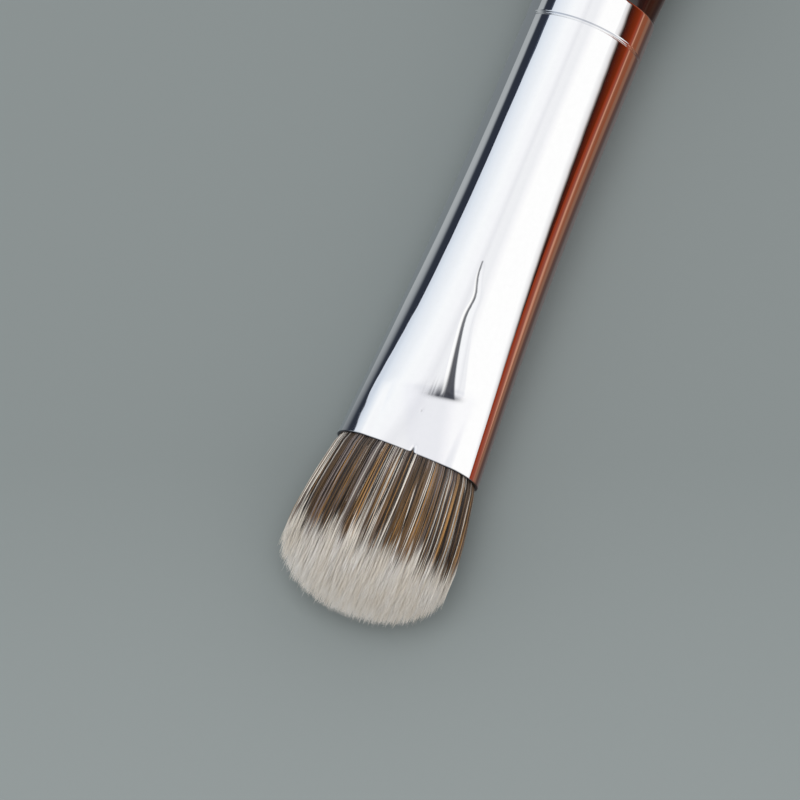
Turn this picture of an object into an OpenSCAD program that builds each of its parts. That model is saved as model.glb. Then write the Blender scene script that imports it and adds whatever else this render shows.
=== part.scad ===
// Flat eyeshadow brush: a pressed metal ferrule holds a domed tuft of fine strands on a turned, lacquered handle.
// Each piece is drawn along X with the ferrule's mouth at zero, the hair towards +X and the handle towards -X.
// The whole brush is then laid on a table, where it rests on the hair's flat face and the handle's belly.

/* [Ferrule] */
// Length of the tube from its rim on the handle to its mouth
ferrule_length = 33; // [32:0.5:40]
// Outer diameter of the round end, before pressing
ferrule_d = 8; // [7:0.1:12]
// Thickness of the tube's wall
ferrule_wall = 0.3; // [0.2:0.02:0.4]
// Length at the handle's end that stays round
round_length = 6; // [5.5:0.5:9]
// How far the mouth is pressed: 0 leaves it round, 1 makes it flattest
mouth_press = 0.8; // [0.3:0.02:0.9]
// Length of the flat pad that the crimping jaws leave on each face
jaw_length = 4.3; // [3:0.1:5]
// How far the pad lies to one side of the middle
jaw_offset = 0.4; // [0:0.1:0.6]
// Width of that pad across the face
jaw_width = 5.4; // [4:0.1:6]
// Depth of that pad below the curved face
jaw_depth = 0.12; // [0.05:0.01:0.2]
// Length of the fold that runs from the pad towards the handle
crease_length = 8.8; // [4:0.1:12]
// Width of the fold where it meets the pad
crease_width = 1.6; // [1:0.1:2]
// Depth of the fold where it meets the pad
crease_depth = 0.28; // [0.1:0.02:0.4]
// How far the fold's foot leans to the side, away from the pad's middle
crease_lean = 0.74; // [0:0.02:1]
// How far the fold sways as it runs out
crease_sway = 0.16; // [0:0.02:0.3]
// Distance from the handle's rim to the rolled locking groove
groove_inset = 2.6; // [1.5:0.1:4]
// Width of the rolled groove
groove_width = 0.3; // [0.2:0.02:0.5]
// How far the rolled groove bites into the tenon
groove_bite = 0.03; // [0.01:0.01:0.08]

/* [Hair] */
// Length of the hair that shows, from the mouth to the crown of the dome
hair_length = 11; // [8:0.5:14]
// Height of the dome that the tips make, above the place where the hair is widest
dome_height = 4; // [2:0.1:5]
// How far the hair spreads past the ferrule at each edge
edge_spread = 0.88; // [0:0.05:1.5]
// How far the hair spreads past the ferrule on each flat face
face_spread = 0.96; // [0:0.01:1.2]
// Most that a strand's tip strays from the dome
tip_stray = 0.3; // [0:0.05:0.5]
// Length of the roots that are packed inside the ferrule
root_length = 14; // [12:0.5:15]
// Number of strands across the brush
strands_across = 24; // [20:2:30]
// Number of strands through its thickness
strands_deep = 14; // [12:2:16]

/* [Root binding] */
// Room left between the thread and the ferrule
thread_room = 0.1; // [0.05:0.05:0.5]
// Diameter of the tie thread
thread_d = 0.36; // [0.2:0.02:0.5]
// Number of turns of thread
thread_turns = 5; // [3:1:6]
// Distance from the end of the roots to the nearest turn
thread_inset = 1.6; // [1:0.1:2]
// Length of the resin plug behind the roots
plug_length = 4; // [2:0.1:4.5]

/* [Handle] */
// Length of the handle that shows, from the ferrule's rim to the tip of the tail
handle_length = 136; // [100:1:160]
// How far the belly stands out past the shoulder
belly_swell = 1.6; // [1:0.05:2]
// Distance from the ferrule's rim to the belly
belly_inset = 48; // [34:1:60]
// Step from the ferrule's skin down to the handle's shoulder
shoulder_step = 0.15; // [0.1:0.01:0.18]
// Diameter of the tail
tail_d = 4.4; // [4:0.1:7]
// Length of the rounded end of the tail
tail_round = 3; // [2:0.1:5]
// Room left inside the ferrule between the resin plug and the glue on the handle's tenon
air_gap = 3.6; // [0.5:0.1:6]
// Thickness of the glue round the tenon
glue_film = 0.09; // [0.05:0.01:0.15]
// Thickness of the glue disc at the tenon's end
glue_disc = 0.4; // [0.2:0.05:0.8]

/* [Hidden] */

// Clearance between pieces that fit inside each other
fit_gap = 0.03;
// Rounding of the ferrule's cut rim and chamfer of the tenon
rim_round = 0.1;
tenon_chamfer = 0.5;
// Length of the soft step at the upper edge of the jaws' pad and at its sides
jaw_edge = 0.4;
// Overlap of the pressed part with the round part of the tube, and how far its skins lie inside the wall there
seam_overlap = 0.6;
seam_inset = 0.03;
// How fast the pressing dies away from the mouth, and how squarely the jaws press
press_fade_share = 2.7;
square_share = 0.3;
// How the pad's edge slants. How wide the fold is where it runs out, as a share of its foot, over what share of its
// length its foot drops, and how many times it sways.
jaw_slant_share = 0.15;
crease_end_share = 0.5;
crease_foot_share = 0.08;
crease_bends = 2.5;
// How early the handle swells behind the ferrule, and how early it narrows behind its belly: 1 is an even wave
flare_share = 0.92;
waist_share = 0.8;
// How deep inside the mouth the strands leave the packed roots, and the flare of the cut root end
root_recess = 0.15;
root_flare = 0.12;

// Degrees in a radian, for angles that are worked out from curvature
radian = 180 / PI;
// Steps around the pressed tube, a multiple of 4, then steps along its pad, over the pad's edge and up the taper,
// where they lie closer together towards the pad
sides = 80;
jaw_rows = 3;
edge_rows = 3;
taper_rows = 18;
taper_crowding = 1.3;
// Steps along the resin plug
plug_rows = 2;
// Steps along the handle's two curves and around small roundings
belly_steps = 12;
taper_steps = 36;
round_steps = 8;
// Smoothness of the round pieces
$fn = 96;
// Start of the random strays of the strands' tips
stray_seed = 7;

ferrule_r = ferrule_d / 2;
bore_r = ferrule_r - ferrule_wall;
// What lies inside the tube is drawn in from its outer skin by the wall and a clearance
room_inset = ferrule_wall + fit_gap;
rim_x = -ferrule_length;
press_length = ferrule_length - round_length;
tube_end_x = -press_length - seam_overlap / 2;
groove_x = rim_x + groove_inset;
root_x = -root_length;
glue_x = root_x - plug_length - air_gap;
tenon_x = glue_x - glue_disc - fit_gap;

// Rises smoothly from 0 to 1 while value goes from low to high
function ease(value, low, high) =
    let (t = max(0, min(1, (value - low) / (high - low))))
    t * t * (3 - 2 * t);

// How far the tube is pressed at a distance behind its mouth
function press_at(back) = mouth_press * pow(max(0, 1 - back / press_length), press_fade_share);

// Direction of the pressed wall in degrees. The phase runs round the tube from the middle of the lower face (0)
// past an edge (90) to the upper face (180). Pressing takes curvature from the faces and gives it to the edges.
function wall_angle(phase, press) =
    phase
    - press / 2 * sin(2 * phase) * radian
    - square_share * press * press / 4 * sin(4 * phase) * radian;

// Walks equal steps round the wall, so that the pressed tube keeps the girth of the round one
function wall_walk(press) = [
    for (
        k = 0, at = [0, 0], turn = 0;
        k < sides;
        turn = wall_angle((k + 0.5) * 360 / sides, press),
        at = at + 2 * PI / sides * [cos(turn), sin(turn)],
        k = k + 1
    ) at
];

// How far the jaws' pad and the fold push a face in, at a distance behind the mouth and across the face
function pad_dent(back, across) =
    let (end = jaw_length + jaw_slant_share * across)
    jaw_depth
    * (1 - ease(back, end, end + jaw_edge))
    * (1 - ease(abs(across + jaw_offset), jaw_width / 2 - jaw_edge, jaw_width / 2 + jaw_edge));

// The fold's middle line, at a share of the way from the pad to where the fold runs out
function crease_middle(share) =
    crease_lean * pow(1 - share, 3)
    - crease_sway * share * (1 + cos(360 * crease_bends * (1 - share)));

function crease_dent(back, across) =
    let (
        share = (back - jaw_length) / crease_length,
        fade = max(0, min(1, 1 - share)),
        half = crease_width / 2 * (crease_end_share + (1 - crease_end_share) * fade)
    )
    crease_depth
    * fade
    * ease(share, 0, crease_foot_share)
    * max(0, 1 - abs(across - crease_middle(1 - fade)) / half);

// Outline of the tube at a distance behind the mouth, drawn in from the outer skin by an inset
function tube_ring(back, inset) =
    let (
        press = press_at(back),
        walk = wall_walk(press),
        middle = (walk[0] + walk[sides / 2]) / 2
    )
    [
        for (k = [0:sides - 1])
            let (
                turn = wall_angle(k * 360 / sides, press),
                at = (walk[k] - middle) * ferrule_r - inset * [sin(turn), -cos(turn)],
                upper = at[1] > 0 ? crease_dent(back, at[0]) : 0,
                dent = pad_dent(back, at[0]) * abs(cos(turn)) + upper
            )
            [-back, at[0], at[1] - sign(at[1]) * dent]
    ];

// A point of a ring at a share of the way round it
function ring_point(ring, share) =
    let (at = (share - floor(share)) * sides, k = floor(at))
    ring[k] + (at - k) * (ring[(k + 1) % sides] - ring[k]);

// Triangles between two rings of points that start at indices a and b, and the fan that closes a ring round a point
function band(a, b, count) = [
    for (k = [0:count - 1])
        let (next = (k + 1) % count)
        each [[a + k, b + k, b + next], [a + k, b + next, a + next]]
];

function fan(a, centre, count) = [for (k = [0:count - 1]) [a + k, a + (k + 1) % count, centre]];

function reversed(faces) = [for (face = faces) [face[2], face[1], face[0]]];

// Turns a profile of [radius, place along the brush] about the brush's axis
module turned(profile) {
    rotate([0, 90, 0])
        rotate_extrude()
            polygon(profile);
}

// Stations from the mouth to the round stretch, closer together where the wall bends most
edge_start = jaw_length - jaw_edge;
edge_end = jaw_length + 2 * jaw_edge;
press_stations = concat(
    [for (i = [0:jaw_rows]) edge_start * i / jaw_rows],
    [for (i = [1:edge_rows]) edge_start + (edge_end - edge_start) * i / edge_rows],
    [for (i = [1:taper_rows]) edge_end + (press_length - edge_end) * pow(i / taper_rows, taper_crowding)]
);

// The flattened end of the tube, as one closed wall
module pressed_mouth() {
    rows = len(press_stations) + 1;
    seat = press_length + seam_overlap;
    outer = [for (back = press_stations) each tube_ring(back, 0)];
    inner = [for (back = press_stations) each tube_ring(back, ferrule_wall)];
    points = concat(
        outer,
        tube_ring(seat, seam_inset),
        inner,
        tube_ring(seat, ferrule_wall - seam_inset)
    );
    inside = rows * sides;
    faces = concat(
        [for (r = [0:rows - 2]) each reversed(band(r * sides, (r + 1) * sides, sides))],
        [for (r = [0:rows - 2]) each band(inside + r * sides, inside + (r + 1) * sides, sides)],
        band(0, inside, sides),
        reversed(band((rows - 1) * sides, inside + (rows - 1) * sides, sides))
    );
    polyhedron(points, faces);
}

// The glue film is as thick as the narrowest place round the tenon allows, where the tube has begun to flatten
film_r = -tube_ring(-glue_x, room_inset)[0][2];
tenon_r = film_r - glue_film - fit_gap;
groove_depth = bore_r - tenon_r + groove_bite;

// How far the rolled groove pushes the wall in at a share of its half width, from -1 to 1
function groove_dip(share) = groove_depth * (1 + cos(180 * share)) / 2;
groove_shares = [for (i = [-round_steps:round_steps]) i / round_steps];

module ferrule() {
    color("#c4c8cc") {
        turned(concat(
            [
                for (i = [0:round_steps])
                    let (turn = 90 * i / round_steps)
                    [ferrule_r - rim_round + rim_round * sin(turn), rim_x + rim_round - rim_round * cos(turn)]
            ],
            [for (share = groove_shares) [ferrule_r - groove_dip(share), groove_x + share * groove_width / 2]],
            [[ferrule_r, tube_end_x], [bore_r, tube_end_x]],
            [for (share = groove_shares) [bore_r - groove_dip(share), groove_x - share * groove_width / 2]],
            [[bore_r, rim_x]]
        ));
        pressed_mouth();
    }
}

shoulder_r = ferrule_r - shoulder_step;
belly_r = shoulder_r + belly_swell;
tail_r = tail_d / 2;
tail_start = handle_length - tail_round;

// Radius of the handle at a distance from the ferrule's rim: a quarter wave up to the belly, which rises fastest at
// the shoulder, then half a wave to the tail, which falls fastest just behind the belly
function handle_radius(away) =
    away < belly_inset
        ? shoulder_r + belly_swell * sin(90 * pow(away / belly_inset, flare_share))
        : (belly_r + tail_r) / 2
            + (belly_r - tail_r) / 2
            * cos(180 * pow((away - belly_inset) / (tail_start - belly_inset), waist_share));

// Outline of the part of the handle that shows, from the rim to the tip of the tail
handle_outline = concat(
    [for (i = [0:belly_steps]) let (away = belly_inset * i / belly_steps) [handle_radius(away), rim_x - away]],
    [
        for (i = [1:taper_steps])
            let (away = belly_inset + (tail_start - belly_inset) * i / taper_steps)
            [handle_radius(away), rim_x - away]
    ],
    [
        for (i = [1:round_steps])
            let (turn = 90 * i / round_steps)
            [tail_r * cos(turn), rim_x - tail_start - tail_round * sin(turn)]
    ]
);

module handle() {
    notch_r = bore_r - groove_depth - fit_gap;
    notch_half = groove_width / 2 + fit_gap;
    color("#2b1714")
        turned(concat(
            [
                [0, tenon_x],
                [tenon_r - tenon_chamfer, tenon_x],
                [tenon_r, tenon_x - tenon_chamfer],
                [tenon_r, groove_x + notch_half],
                [notch_r, groove_x + notch_half],
                [notch_r, groove_x - notch_half],
                [tenon_r, groove_x - notch_half],
                [tenon_r, rim_x]
            ],
            handle_outline
        ));
}

// The glue fills the bore round the tenon, from the disc at its end to the rolled groove
module handle_glue() {
    film_end = groove_x + groove_width / 2 + fit_gap;
    color("#d9c48c")
        turned([
            [0, glue_x],
            [film_r, glue_x],
            [film_r, film_end],
            [tenon_r + fit_gap, film_end],
            [tenon_r + fit_gap, tenon_x + fit_gap],
            [0, tenon_x + fit_gap]
        ]);
}

// The resin sets behind the roots and takes the shape of the tube there
module resin_plug() {
    backs = [for (i = [0:plug_rows]) root_length + plug_length * i / plug_rows];
    ends = len(backs) * sides;
    points = concat(
        [for (back = backs) each tube_ring(back, room_inset)],
        [[-backs[0], 0, 0], [-backs[plug_rows], 0, 0]]
    );
    faces = concat(
        [for (r = [0:plug_rows - 1]) each reversed(band(r * sides, (r + 1) * sides, sides))],
        reversed(fan(0, ends, sides)),
        fan(plug_rows * sides, ends + 1, sides)
    );
    color("#c9a45a")
        polyhedron(points, faces);
}

// The bundle's neck leaves the thread its room where the tube is narrowest, at the thread's end towards the mouth
thread_front = root_length - thread_inset - thread_turns * thread_d;
neck_room = min([for (at = tube_ring(thread_front, room_inset)) norm([at[1], at[2]])]);
neck_r = neck_room - thread_room - thread_d - fit_gap;

// The thread lies side by side round the neck of the roots, each turn pressed half into the next
module tie_thread() {
    inner_r = neck_r + fit_gap;
    start = root_x + thread_inset;
    color("#e9e2d0")
        turned(concat(
            [[inner_r, start], [inner_r, start + thread_turns * thread_d]],
            [
                for (i = [thread_turns * round_steps:-1:0])
                    [
                        inner_r + thread_d / 2 + thread_d / 2 * abs(sin(180 * i / round_steps)),
                        start + thread_d * i / round_steps
                    ]
            ]
        ));
}

// A point of the unit square becomes a point of the unit disc
function on_disc(u, v) = [u * sqrt(1 - v * v / 2), v * sqrt(1 - u * u / 2)];

// The share of the way round a ring, counted from its lowest point, at which a point of the disc lies
function share_round(place) = (atan2(place[1], place[0]) + 90) / 360;

// The hair swells from the mouth to its shoulder. These are its widths there as gains on the room in the mouth.
hair_shoulder = hair_length - dome_height;
mouth_skin = tube_ring(0, 0);
mouth_ring = tube_ring(0, room_inset);
across_gain = (mouth_skin[sides / 4][1] + edge_spread) / mouth_ring[sides / 4][1];
deep_gain = (mouth_skin[sides / 2][2] + face_spread) / mouth_ring[sides / 2][2];
function swell(out) = sin(90 * max(0, min(1, out / hair_shoulder)));

// A place in the hair, at the square's coordinates and a distance out of the mouth: the disc is fitted to the
// mouth's outline, which swells with the distance
function in_hair(u, v, out) =
    let (place = on_disc(u, v), at = norm(place) * ring_point(mouth_ring, share_round(place)))
    [out, at[1] * (1 + (across_gain - 1) * swell(out)), at[2] * (1 + (deep_gain - 1) * swell(out))];

// Where the dome ends above a place of the square
function dome(u, v) =
    let (reach = min(1, norm(on_disc(u, v))))
    hair_shoulder + (hair_length - hair_shoulder) * sqrt(1 - reach * reach);

// Each strand is a three-sided spike: shares of its own length at which it has a ring, and its width there as a
// share of its cell, then the corners of that ring in the cell
ring_shares = [0, 0.55, 0.88];
ring_width_shares = [1, 0.95, 0.75];
corner_shares = [[-0.42, -0.36], [0.42, -0.36], [0, 0.46]];
strays = rands(-tip_stray, tip_stray, strands_across * strands_deep, stray_seed);

// Points of the strand in one cell of the grid: its rings from the foot outwards, then its tip
function strand_points(i, j) =
    let (
        u = (2 * i + 1) / strands_across - 1,
        v = (2 * j + 1) / strands_deep - 1,
        tip = dome(u, v) + strays[j * strands_across + i]
    )
    concat(
        [
            for (r = [0:len(ring_shares) - 1])
                for (corner = corner_shares)
                    in_hair(
                        u + 2 / strands_across * corner[0] * ring_width_shares[r],
                        v + 2 / strands_deep * corner[1] * ring_width_shares[r],
                        (tip + root_recess) * ring_shares[r] - root_recess
                    )
        ],
        [in_hair(u, v, tip)]
    );

// Stations of the packed roots behind the strands' feet: distance behind the mouth, how far the bundle stays clear
// of the tube's wall, how far it has narrowed from the tube's room (0) to the tied neck (1), and how far it stands out
// past the neck
root_stations = concat(
    [for (i = [1:jaw_rows]) [press_stations[i], 0, 0, 0]],
    [
        [edge_end, crease_depth, 0, 0],
        [thread_front - fit_gap, crease_depth, 1, 0],
        [root_length - thread_inset + fit_gap, 0, 1, 0],
        [root_length, 0, 1, root_flare]
    ]
);

// The strands and the packed roots are one closed surface. Its front is a grid of cells, with a strand's foot in
// the middle of each, so that no strand touches another.
module bristle_tuft() {
    na = strands_across;
    nd = strands_deep;
    grid = [
        for (j = [0:nd])
            for (i = [0:na])
                in_hair(2 * i / na - 1, 2 * j / nd - 1, -root_recess)
    ];
    cells = [for (j = [0:nd - 1]) for (i = [0:na - 1]) [i, j]];
    rings = len(ring_shares);
    per_strand = 3 * rings + 1;
    spikes = [for (cell = cells) each strand_points(cell[0], cell[1])];
    // Indices of the grid's border, once round, seen from the front
    border = concat(
        [for (i = [0:na - 1]) i],
        [for (j = [0:nd - 1]) j * (na + 1) + na],
        [for (i = [na:-1:1]) nd * (na + 1) + i],
        [for (j = [nd:-1:1]) j * (na + 1)]
    );
    edge = len(border);
    roots = [
        for (station = root_stations)
            let (room = tube_ring(station[0], room_inset + station[1]), neck = neck_r + station[3])
            for (index = border)
                let (
                    j = floor(index / (na + 1)),
                    i = index - j * (na + 1),
                    place = on_disc(2 * i / na - 1, 2 * j / nd - 1),
                    at = ring_point(room, share_round(place)),
                    tied = [-station[0], place[0] * neck, place[1] * neck]
                )
                at * (1 - station[2]) + tied * station[2]
    ];
    first_spike = len(grid);
    first_root = first_spike + len(spikes);
    last_ring = first_root + (len(root_stations) - 1) * edge;
    foot_faces = [
        for (c = [0:len(cells) - 1])
            let (
                a = cells[c][1] * (na + 1) + cells[c][0],
                b = a + 1,
                d = a + na + 1,
                e = d + 1,
                p = first_spike + c * per_strand,
                q = p + 1,
                r = p + 2
            )
            each [[a, q, b], [a, p, q], [b, q, e], [e, q, r], [e, r, d], [d, r, p], [d, p, a]]
    ];
    strand_faces = [
        for (c = [0:len(cells) - 1])
            let (p = first_spike + c * per_strand)
            each concat(
                [for (r = [0:rings - 2]) each band(p + 3 * r, p + 3 * r + 3, 3)],
                reversed(fan(p + 3 * rings - 3, p + 3 * rings, 3))
            )
    ];
    side_faces = concat(
        [
            for (k = [0:edge - 1])
                let (next = (k + 1) % edge)
                each [
                    [border[k], border[next], first_root + next],
                    [border[k], first_root + next, first_root + k]
                ]
        ],
        [
            for (s = [0:len(root_stations) - 2])
                each reversed(band(first_root + s * edge, first_root + (s + 1) * edge, edge))
        ],
        fan(last_ring, last_ring + edge, edge)
    );
    color("#9c8d7b")
        polyhedron(
            concat(grid, spikes, roots, [[root_x, 0, 0]]),
            concat(foot_faces, strand_faces, side_faces)
        );
}

// The brush rests where a straight line touches both the handle and what lies in front of it, which is the lowest row
// of strands as long as these spread past the tube. The line's slope is the least, over the points in front, of the
// steepest line from such a point back to the handle.
front_outline = concat(
    [for (back = press_stations) [max([for (at = tube_ring(back, 0)) -at[2]]), -back]],
    [for (i = [0:strands_across - 1]) for (at = strand_points(i, 0)) [-at[2], at[0]]]
);
rest_angle = -atan(min([
    for (front = front_outline)
        max([for (rear = handle_outline) (rear[0] - front[0]) / (front[1] - rear[1])])
]));
rest_lift = max([
    for (at = concat(handle_outline, front_outline))
        at[0] * cos(rest_angle) - at[1] * sin(rest_angle)
]);
middle_x = (hair_length - ferrule_length - handle_length) / 2 * cos(rest_angle);

module laid_down() {
    translate([-middle_x, 0, rest_lift])
        rotate([0, -rest_angle, 0])
            children();
}

laid_down() handle();
laid_down() handle_glue();
laid_down() ferrule();
laid_down() resin_plug();
laid_down() tie_thread();
laid_down() bristle_tuft();
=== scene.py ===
"""Eyeshadow brush: a plated ferrule with its crimp fold, dense two-tone hair and a lacquered handle."""

import math

import bpy
import numpy as np
from mathutils import Matrix, Vector


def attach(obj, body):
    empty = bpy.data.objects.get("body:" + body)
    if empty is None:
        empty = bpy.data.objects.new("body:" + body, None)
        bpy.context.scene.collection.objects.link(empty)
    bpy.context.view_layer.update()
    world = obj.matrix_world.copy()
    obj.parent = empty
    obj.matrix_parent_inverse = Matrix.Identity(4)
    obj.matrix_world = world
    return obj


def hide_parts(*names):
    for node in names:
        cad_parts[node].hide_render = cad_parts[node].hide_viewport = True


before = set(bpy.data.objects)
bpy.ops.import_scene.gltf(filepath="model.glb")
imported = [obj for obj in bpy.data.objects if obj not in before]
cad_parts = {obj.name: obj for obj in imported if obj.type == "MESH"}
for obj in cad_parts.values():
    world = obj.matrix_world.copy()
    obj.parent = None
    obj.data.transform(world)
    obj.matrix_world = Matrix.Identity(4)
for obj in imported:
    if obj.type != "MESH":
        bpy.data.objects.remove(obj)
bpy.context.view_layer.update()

MM = 0.001

# Lengths are in millimetres unless a comment says otherwise. The brush is drawn along x with the ferrule's
# mouth at zero, the hair towards +x and the handle towards -x. Back or behind means behind the mouth, out
# means out of it, across is along y with the left negative, and a share is a part of a length

# The ferrule: a round tube, pressed to a flat oval towards its mouth
FERRULE_LENGTH = 33.0
FERRULE_R = 4.0
WALL = 0.3
PRESS_LENGTH = 27.0
MOUTH_PRESS = 0.8
PRESS_FADE_POWER = 2.7
SQUARE_SHARE = 0.3

# The flat pad that the jaws left on each face, a little to the left, with a slanted end
PAD_LENGTH = 3.8
PAD_SLANT = 0.2
PAD_OFFSET = 0.1
PAD_WIDTH = 5.7
PAD_DEPTH = 0.12
PAD_END_EDGE = 0.9
PAD_SIDE_EDGE = 0.4

# The fold above the upper pad: the line of its valley from tip to pad, and the widths of its two flanks
FOLD_LENGTH = 9.3
FOLD_DEPTH = 0.28
FOLD_DEPTH_POWER = 0.8
FOLD_FOOT_SHARE = 0.06
FOLD_TIP = -0.17
FOLD_LEAN = 1.34
FOLD_LEAN_POWER = 1.7
FOLD_BEND = 0.27
FOLD_BEND_PLACE = 0.25
FOLD_BEND_SPREAD = 0.11
LEFT_FLANK_TIP = 0.12
LEFT_FLANK_GAIN = 0.42
LEFT_FLANK_POWER = 1.5
RIGHT_FLANK_TIP = 0.28
RIGHT_FLANK_GAIN = 0.72
RIGHT_FLANK_CURVE = 1.3

# The nick in the mouth's edge, and the pit on the pad
NICK_ACROSS = 0.24
NICK_WIDTH = 0.13
NICK_LENGTH = 0.75
NICK_DEPTH = 0.09
NICK_RECESS = 0.12
NICK_RECESS_LENGTH = 0.7
PIT_BACK = 2.7
PIT_ACROSS = -0.17
PIT_RADIUS = 0.07
PIT_DEPTH = 0.03

# Dark marks painted on the metal, where 1 is darkest: a line along the fold that flares at its foot, which is
# painted shade in the fold's valley, a smear above the pad, and streaks running up from it. An edge is the
# pair of values between which a mark rises or fades, and turns are in radians per millimetre
LINE_TIP = 0.1
LINE_GAIN = 0.38
LINE_FLARE = 0.5
LINE_FLARE_SHARE = 0.07
LINE_LEFT_EDGE = (0.35, 0.85)
LINE_RIGHT_EDGE = (0.3, 0.52)
LINE_DARK_AT_TIP = 0.76
LINE_DARK_GAIN = 0.18
FOOT_EDGE = (-0.012, 0.012)
SMEAR_BACK = 0.12
SMEAR_SPREAD = 0.18
SMEAR_LEFT_EDGE = (-0.9, 0.7)
SMEAR_RIGHT_EDGE = (1.05, 2.3)
SMEAR_DARK = 0.82
STREAK_MIDDLE = 0.78
STREAK_SWING = 0.22
STREAK_TURNS = 21
STREAK_DRIFT = 2
STREAK_DRIFT_TURNS = 9
STREAKED_SHARE = 0.03
STREAKED_SHARE_GAIN = 0.05
STREAKED_LEFT_EDGE = (-0.9, 0.45)
STREAKED_RIGHT_EDGE = (0.95, 1.15)
STREAKED_DARK = 0.95
# Painted shade in the pit, in the nick and along the cut edge of the mouth
PIT_DARK = 0.32
NICK_DARK = 0.8
NICK_DARK_EDGE = (0.35, 0.8)
CUT_EDGE = (0.02, 0.1)
CUT_EDGE_DARK = 0.9

# How dull the jaws left the upper pad: least at its left, most right of a slanted line
DULL_LEAST = 0.15
DULL_GAIN = 0.85
DULL_SLANT = 0.46
DULL_EDGE = (-0.4, 0.3)

# The rolled groove, and the rounding of the rim and of the mouth's lip
GROOVE_BACK = 30.4
GROOVE_WIDTH = 0.3
GROOVE_DEPTH = 0.09
RIM_ROUND = 0.1
LIP = 0.06

# The ferrule's rows, as stretches with a start, an end and a count, or one by one beside the groove. They lie
# closer together at the nick, the pit, the pad's end and along the fold
RING_POINTS = 288
FACE_CROWDING = 0.55
OUTER_STRETCHES = [
    (0.09, 0.8, 14), (1.0, 2.4, 8), (2.44, 2.8, 9), (3.0, 3.7, 5), (3.76, 5.0, 24), (5.1, 13.6, 78),
    (14, PRESS_LENGTH, 30)]
BEFORE_GROOVE = [28.5, 29.7, 30.05, 30.18, 30.23]
AFTER_GROOVE = [30.57, 30.62, 30.8, 31.8, 32.7, 32.86]
BORE_STRETCHES = [(PRESS_LENGTH, 5, 16), (4.6, 0.8, 12), (0.7, 0, 8)]
GROOVE_ROWS = 15
ROUND_ROWS = 6

# The tuft: its half sizes at its shoulder, where it is widest, and half the room that no strand leaves
HAIR_LENGTH = 10.65
HAIR_SHOULDER = 7.0
HAIR_HALF_WIDTH = 5.58
HAIR_HALF_DEPTH = 3.4
HAIR_FLARE = 0.3
HAIR_FLARE_EDGE = (-0.05, 0.5)
HAIR_ROOM = (5.54, 3.42)
ROOT_RECESS = 0.6
ROOT_RING_BACK = 1.2
ROOT_GAP = 0.03
TIP_SHIFT = -0.05
TIP_SHAKE = 0.14
TIP_SPARE = 0.1

# Its strands: places are on the unit disc, and the taper gives the thickness at shares of the length
SEED = 30
STRANDS = 9600
STRAND_RINGS = 9
STRAND_SIDES = 4
STRAND_RADIUS = 0.036
RADIUS_RANGE = (0.75, 1.3)
RING_POWER = 0.92
RING_SHARES = np.linspace(0, 1, STRAND_RINGS) ** RING_POWER
TAPER_SHARES = (0, 0.5, 0.82, 1.0)
TAPER = (1, 0.95, 0.55, 0.08)
PLACE_SHAKE = 0.011
PLACE_RIM = 0.985
WANDER = 0.15
WANDER_POWER = 1.3
STRAY_SHARE = 0.03
STRAY_GAIN = 2.5
HAIR_PIECES = 4

# Strands gather in locks, and are of five kinds: near black, brown, grey-brown, brown to ochre, and the
# thicker pale ones. The turnover is how far out the dark dye gives way to cream
LOCKS = 420
LOCK_PULL = 0.13
LOCK_PULL_POWER = 2.5
LOCK_KIND_SHARE = 0.4
LOCK_TONE = 0.6
OWN_TONE = 0.4
KINDS = 5
KIND_WEIGHTS = (0.24, 0.3, 0.18, 0.17, 0.11)
PALE_GAIN = 1.3
TURNOVER = 6.2
TURNOVER_LOCK_SHAKE = 0.45
TURNOVER_SLOPE = 1.1
TURNOVER_SHAKE = 0.42

# The handle: its visible profile behind the rim, its tenon inside the ferrule, and the notch under the groove
HANDLE_LENGTH = 136.0
SHOULDER_R = 3.85
BELLY_R = 5.45
BELLY_INSET = 48.0
TAIL_R = 2.2
TAIL_ROUND = 3.0
FLARE_POWER = 0.92
WAIST_POWER = 0.8
TENON_X = -22.03
TENON_R = 3.537
TENON_CHAMFER = 0.5
NOTCH_R = 3.477
NOTCH_HALF = 0.18
SKIN_ALLOWANCE = 0.01
HANDLE_POINTS = 160
HANDLE_ROWS = 260
HANDLE_FIRST_ROW = 0.4
TAIL_ROWS = 22
TAIL_POINT = 0.005
CORNER_GAP = 0.02

# How the drawn brush is laid on the table, nose down on its hair and the handle's belly
REST_ANGLE = math.radians(-1.41492)
REST_LIFT = 3.65581
MIDDLE_X = -78.9759

# Camera, found by fitting the ferrule's outline in the photograph: it looks at a drawn point from 400 mm
# away. Its clipping is in metres
AIM = (-8.0, 0.0, 0.0)
AIM_PIXEL = (453.8, 349.6)
TILT = math.radians(15.09)
YAW = math.radians(4.05)
ROLL = math.radians(22.59)
DISTANCE = 400.0
FOCAL_PIXELS = 6257.0
IMAGE = 800
SENSOR = 36.0
CLIP_NEAR = 0.01
CLIP_FAR = 10

# The studio's cards, and how strong its light is, where 1 is white
REACH = 700
ABOVE_FLOOR = 0.03
LEFT_WALL = -150
LEFT_HEIGHT = 45
RIGHT_WALL = 135
RIGHT_HEIGHT = 99
BESIDE = 3
MIRRORED_LEVEL = 1.07
EVEN_LEVEL = 0.65

# The table and the key light, in metres and watts. The direction is down the picture, by the camera's roll
FLOOR_HALF = 1.5
DOWN_PICTURE = (0.923, 0.384, 0.0)
TONE_FROM = 0.03
TONE_TO = 0.107
TOOTH_SHARE = 0.04
KEY_SIZE = 0.6
KEY_POWER = 3.1
KEY_PLACE = (0.2, -0.06, 0.75)
KEY_AIM = (0.08, 0, 0)


def laid(points):
    """Turns drawn points by the rest angle about y and lifts them on to the table, in metres."""
    x, y, z = points[..., 0], points[..., 1], points[..., 2]
    cos, sin = math.cos(REST_ANGLE), math.sin(REST_ANGLE)
    return np.stack([x * cos - z * sin - MIDDLE_X, y, x * sin + z * cos + REST_LIFT], -1) * MM


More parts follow.
